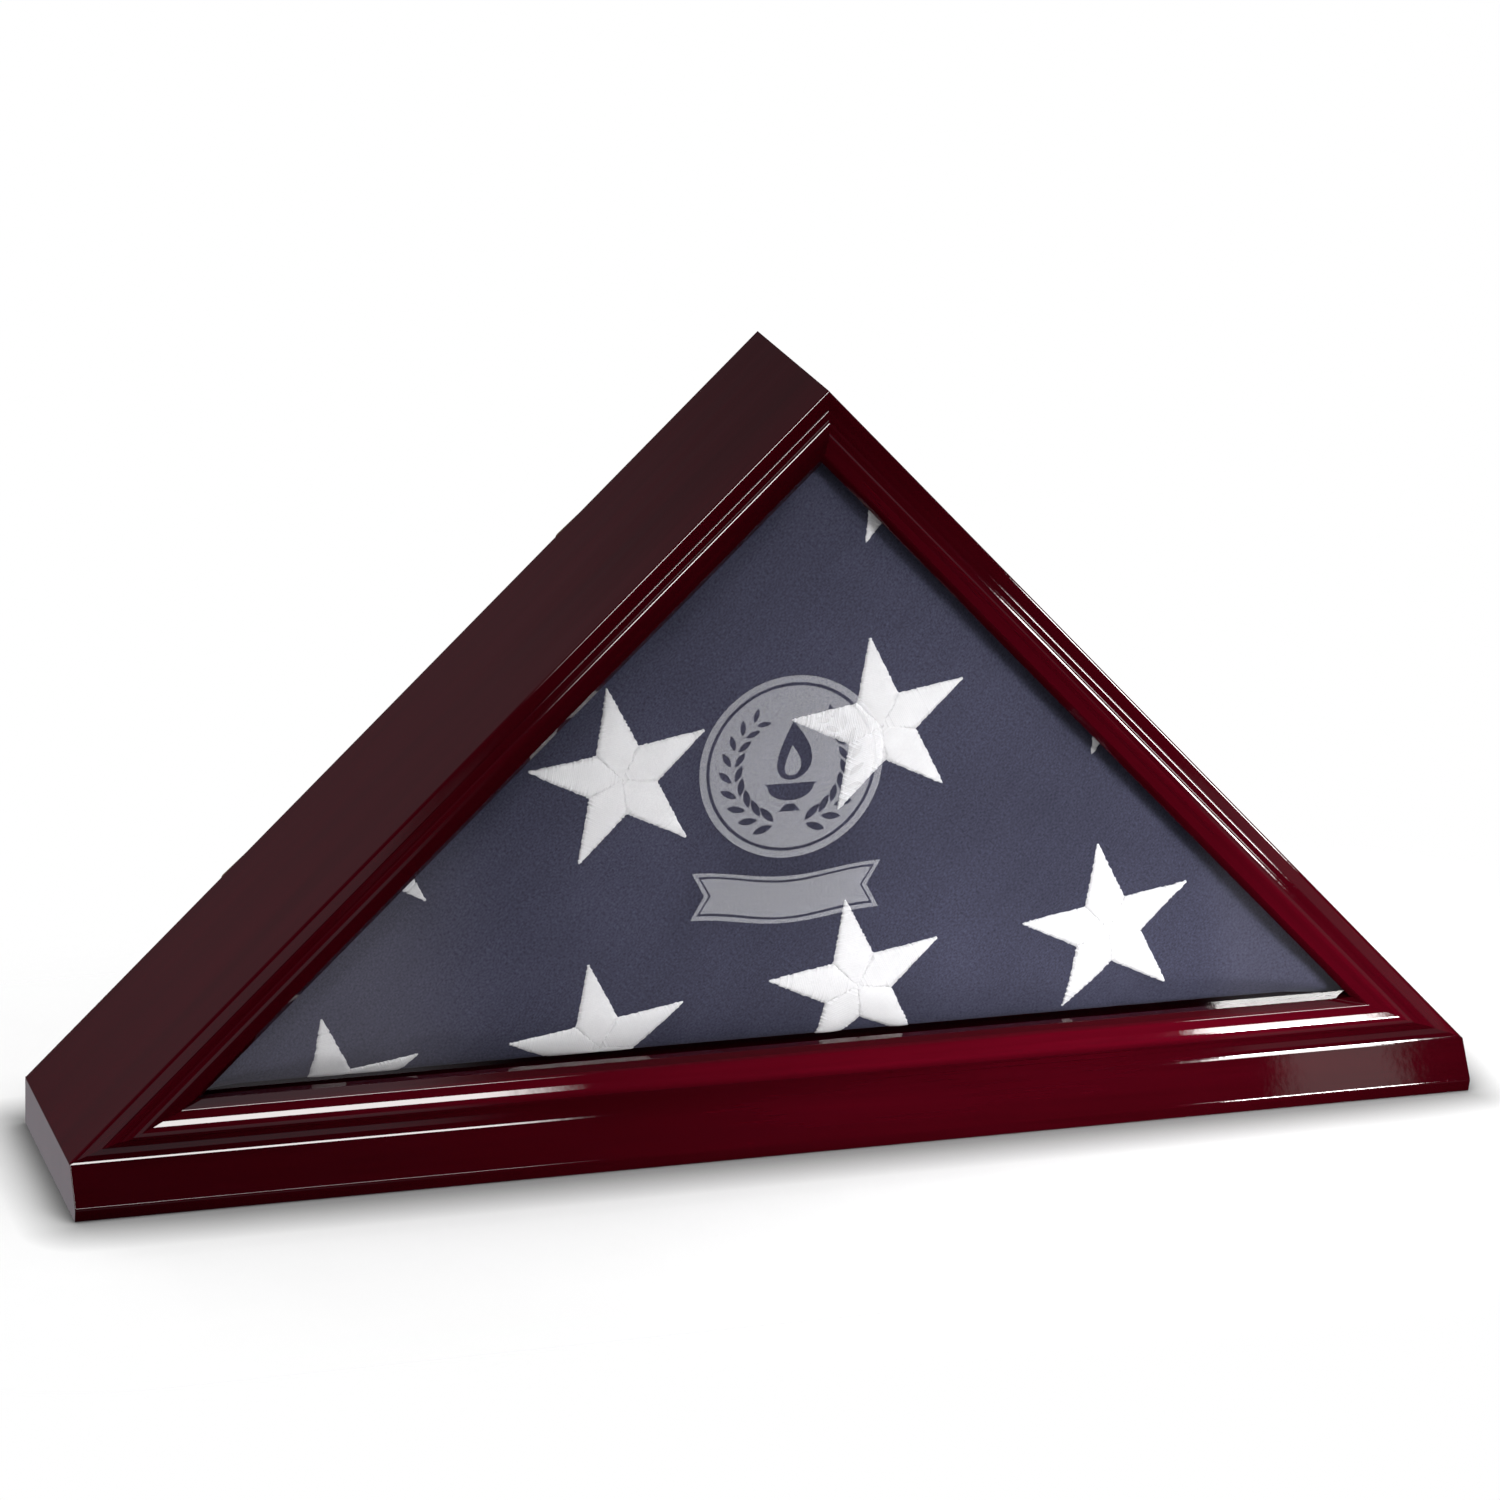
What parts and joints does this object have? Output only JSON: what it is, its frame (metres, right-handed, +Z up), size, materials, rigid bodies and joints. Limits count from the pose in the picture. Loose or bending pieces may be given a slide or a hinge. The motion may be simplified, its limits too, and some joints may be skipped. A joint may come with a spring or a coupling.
{
  "type": "folded flag display case",
  "caption": "Triangular glazed display case on a sloping-front plinth, holding a folded flag, with a removable back held by turn buttons.",
  "frame": {"origin": "centre of the plinth's underside", "axes": "+X to the viewer's right, +Y towards the removable back, +Z up"},
  "size_m": [0.65, 0.1129, 0.347],
  "materials": {
    "lacquered_wood": "high-gloss burgundy lacquer",
    "bare_wood": "bare sanded",
    "dark_painted_wood": "satin black-brown paint",
    "glass": "clear polished",
    "flag_cloth": "woven cotton twill",
    "felt": "felt",
    "brass": "satin plated",
    "steel": "zinc plated"
  },
  "bodies": {
    "case": {"base_plinth": "lacquered_wood", "left_side_board": "lacquered_wood", "right_side_board": "lacquered_wood", "bottom_board": "lacquered_wood", "frame_left_moulding": "lacquered_wood", "frame_right_moulding": "lacquered_wood", "frame_bottom_moulding": "lacquered_wood", "glass_retainer_left": "dark_painted_wood", "glass_retainer_right": "dark_painted_wood", "glass_retainer_bottom": "dark_painted_wood", "mitre_splines": "bare_wood", "plinth_screws": "steel", "retainer_brads": "steel", "glass_pane": "glass", "folded_flag": "flag_cloth", "turn_button_screws": "brass"},
    "back": {"back_panel": "dark_painted_wood", "panel_lining": "felt"},
    "turn_button_left_low": {"turn_button_left_low": "brass"},
    "turn_button_left_high": {"turn_button_left_high": "brass"},
    "turn_button_right_high": {"turn_button_right_high": "brass"},
    "turn_button_right_low": {"turn_button_right_low": "brass"},
    "turn_button_bottom_left": {"turn_button_bottom_left": "brass"},
    "turn_button_bottom_right": {"turn_button_bottom_right": "brass"}
  },
  "joints": [
    {"name": "back_panel_slide", "type": "slide", "parent": "case", "child": "back", "axis": [0, 1, 0], "range_m": [0, 0.12]},
    {"name": "turn_button_left_low_pivot", "type": "hinge", "parent": "case", "child": "turn_button_left_low", "pos_m": [-0.23364, 0.05475, 0.10714], "axis": [0, 1, 0], "range_deg": [0, 90]},
    {"name": "turn_button_left_high_pivot", "type": "hinge", "parent": "case", "child": "turn_button_left_high", "pos_m": [-0.08514, 0.05475, 0.25564], "axis": [0, 1, 0], "range_deg": [0, 90]},
    {"name": "turn_button_right_high_pivot", "type": "hinge", "parent": "case", "child": "turn_button_right_high", "pos_m": [0.08514, 0.05475, 0.25564], "axis": [0, 1, 0], "range_deg": [-90, 0]},
    {"name": "turn_button_right_low_pivot", "type": "hinge", "parent": "case", "child": "turn_button_right_low", "pos_m": [0.23364, 0.05475, 0.10714], "axis": [0, 1, 0], "range_deg": [-90, 0]},
    {"name": "turn_button_bottom_left_pivot", "type": "hinge", "parent": "case", "child": "turn_button_bottom_left", "pos_m": [-0.14, 0.05475, 0.0264], "axis": [0, 1, 0], "range_deg": [0, 90]},
    {"name": "turn_button_bottom_right_pivot", "type": "hinge", "parent": "case", "child": "turn_button_bottom_right", "pos_m": [0.14, 0.05475, 0.0264], "axis": [0, 1, 0], "range_deg": [-90, 0]}
  ]
}
